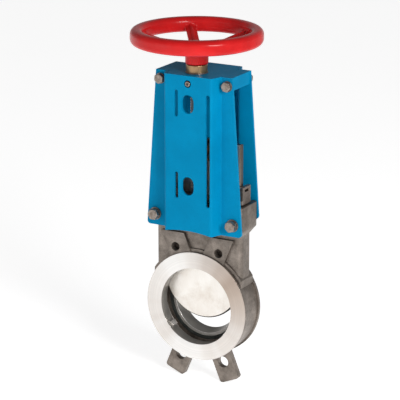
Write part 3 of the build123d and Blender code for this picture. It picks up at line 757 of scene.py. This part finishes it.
def retainer_ring():
    """Seat retainer: dark port and nose as painted shade, bright broken edges as painted highlight, bright
    turned outer face.
    """
    face_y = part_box("seat_retainer")[1].y - 0.2 * MM
    piece = rounded("seat_retainer", "seat_retainer_ring", 0.5 * MM, segments=2)
    points = [v.co for v in piece.data.vertices]
    for polygon in piece.data.polygons:
        outer_face = min(points[i].y for i in polygon.vertices) > face_y
        # painted highlight: broken edges keep the bright turned steel; all but the outer face and edges take
        # the darker copy as painted shade
        edge = 0.25 < abs(polygon.normal.y) < 0.97
        if not (outer_face or edge):
            polygon.material_index = 1
    place(piece, "seat_retainer", [look["machined_steel"], look["bore_steel"]])


def gate_plate():
    """Gate: brushed faces, and an edge and bevel left as the cutter made them."""
    piece = rounded("gate", "gate_plate", 0.3 * MM, segments=2)
    for polygon in piece.data.polygons:
        if abs(polygon.normal.y) < 0.9:
            polygon.material_index = 1
    place(piece, "gate", [look["gate_steel"], look["gate_edge"]])


body_casting()
retainer_ring()
gate_plate()


# ---------------------------------------------------------------- fasteners and stem
middle_y = 0.5 * (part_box("gate")[0].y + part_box("gate")[1].y)


def outward_seat(low, high, depth):
    """Matrix standing outwards along Y in the middle of a box, this deep below its outer end."""
    outward = 1 if low.y > middle_y else -1
    tip = high.y if outward > 0 else low.y
    centre = 0.5 * (low + high)
    return seat((centre.x, tip - outward * depth, centre.z), (0, outward, 0))


def yoke_bolts():
    """Eight hexagon bolts, M10 along the top and M12 at the foot, each left at its own angle."""
    m10_head, m10_shank = 6.4 * MM, 5 * MM
    m12_head, m12_shank, m12_least_flats = 7.5 * MM, 6 * MM, 18 * MM
    bm = bmesh.new()
    for index, (low, high) in enumerate(shells("yoke_bolts")):
        flats = high.z - low.z
        head, shank = (m10_head, m10_shank) if flats < m12_least_flats else (m12_head, m12_shank)
        matrix = outward_seat(low, high, head)
        hex_bolt(bm, matrix, flats, head, shank, high.y - low.y - head, radians(17 * index))
    place(softened(bm, "yoke_bolts_hex"), "yoke_bolts")


def stem_nut_bolts():
    """Small M8 hexagon bolts through the stem nut's plate and the gate, with their nuts."""
    head, shank = 5.3 * MM, 4 * MM
    bm = bmesh.new()
    for index, (low, high) in enumerate(shells("stem_nut_bolts")):
        centre = 0.5 * (low + high)
        matrix = seat((centre.x, low.y + head, centre.z), (0, -1, 0))
        hex_bolt(bm, matrix, high.z - low.z, head, shank, high.y - low.y - head, radians(23 * index))
    place(softened(bm, "stem_nut_bolts_hex"), "stem_nut_bolts")

    bm = bmesh.new()
    for index, (low, high) in enumerate(shells("stem_nut_nuts")):
        centre = 0.5 * (low + high)
        matrix = seat((centre.x, low.y, centre.z), (0, 1, 0))
        hex_nut(bm, matrix, high.z - low.z, high.y - low.y, shank, radians(31 * index))
    place(softened(bm, "stem_nut_nuts_hex"), "stem_nut_nuts")


def gland_fasteners():
    """Threaded M10 studs of the gland and their nuts."""
    stud_r = 5 * MM
    bm = bmesh.new()
    for low, high in shells("gland_studs"):
        centre = 0.5 * (low + high)
        matrix = seat((centre.x, centre.y, low.z), (0, 0, 1))
        threaded_rod(bm, matrix, stud_r, pitch=1.5 * MM, length=high.z - low.z, depth=0.9 * MM, around=24)
    place(object_from(bm, "gland_studs_threaded"), "gland_studs")

    bm = bmesh.new()
    for index, (low, high) in enumerate(shells("gland_nuts")):
        centre = 0.5 * (low + high)
        matrix = seat((centre.x, centre.y, low.z), (0, 0, 1))
        hex_nut(bm, matrix, high.y - low.y, high.z - low.z, stud_r, radians(13 * index))
    place(softened(bm, "gland_nuts_hex"), "gland_nuts")


def lock_washers():
    """Split spring washers under the heads of the lower yoke bolts."""
    bm = bmesh.new()
    gap, slices = radians(9), 44
    inner, rise = 6.1 * MM, 0.25 * MM
    for index, (low, high) in enumerate(shells("yoke_lock_washers")):
        thickness = high.y - low.y
        matrix = outward_seat(low, high, 0.5 * thickness)
        outer, half = 0.5 * (high.x - low.x), 0.5 * thickness - rise
        start = radians(70 * index) + 0.5 * gap
        rows = []
        for i in range(slices + 1):
            angle = start + (2 * pi - gap) * i / slices
            lift = rise * (2 * i / slices - 1)
            rows.append([bm.verts.new(matrix @ Vector((r * cos(angle), r * sin(angle), z + lift)))
                         for r, z in ((inner, -half), (outer, -half), (outer, half), (inner, half))])
        for first, second in zip(rows, rows[1:]):
            for k in range(4):
                bm.faces.new((first[k], first[(k + 1) % 4], second[(k + 1) % 4], second[k]))
        bm.faces.new(rows[0][::-1])
        bm.faces.new(rows[-1])
    bmesh.ops.recalc_face_normals(bm, faces=bm.faces)
    place(softened(bm, "yoke_lock_washers_split", 0.25 * MM), "yoke_lock_washers")


def panel_screws():
    """M6 socket cap screws sunk through the middle of each panel onto the bridge."""
    head, shank, tip = 6 * MM, 3 * MM, 0.5 * MM
    lower_edge, upper_edge = 0.3 * MM, 0.6 * MM
    socket, socket_wall, socket_end = hexagon(5 * MM), 3 * MM, 3.6 * MM
    bm = bmesh.new()
    for low, high in shells("panel_screws"):
        wide = 0.5 * (high.x - low.x)
        grip = (high.y - low.y) - head
        spin(bm, outward_seat(low, high, head), (
            (0, -grip), (shank - tip, -grip), (shank, -grip + tip), (shank, 0.0), (wide - lower_edge, 0.0),
            (wide, lower_edge), (wide, head - upper_edge), (wide - upper_edge, head),
            (socket, head), (socket, head - socket_wall), (0, head - socket_end),
        ))
    place(softened(bm, "panel_screws_cap", 0.12 * MM), "panel_screws")


def stem():
    """Stem: left-hand trapezoid thread below its collar, keyed journal, thread for the wheel nut."""
    low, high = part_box("stem")
    x, y = 0.5 * (low.x + high.x), 0.5 * (low.y + high.y)
    collar, joined = 8 * MM, 1 * MM  # thickness of the collar, and how far each thread reaches into the rest
    collar_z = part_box("thrust_washer")[0].z - collar
    shoulder_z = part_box("wheel_washer")[0].z

    bm = cad_copy("stem")
    cut_off(bm, collar_z, -1)
    cut_off(bm, shoulder_z, 1)
    threaded_rod(bm, seat((x, y, low.z), (0, 0, 1)), radius=12 * MM, pitch=5 * MM,
                 length=collar_z - low.z + joined, depth=2.4 * MM, hand=-1)
    threaded_rod(bm, seat((x, y, shoulder_z - joined), (0, 0, 1)), radius=8 * MM, pitch=2 * MM,
                 length=high.z - shoulder_z + joined, depth=1.2 * MM)
    place(object_from(bm, "stem_threaded"), "stem")


def wheel_nut():
    """Thin M16 nut that holds the handwheel."""
    low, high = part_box("wheel_nut")
    matrix = seat((0.5 * (low.x + high.x), 0.5 * (low.y + high.y), low.z), (0, 0, 1))
    bm = bmesh.new()
    hex_nut(bm, matrix, flats=high.y - low.y, height=high.z - low.z, hole=8 * MM, turn=radians(11))
    place(softened(bm, "wheel_nut_hex"), "wheel_nut")


yoke_bolts()
stem_nut_bolts()
gland_fasteners()
lock_washers()
panel_screws()
stem()
wheel_nut()
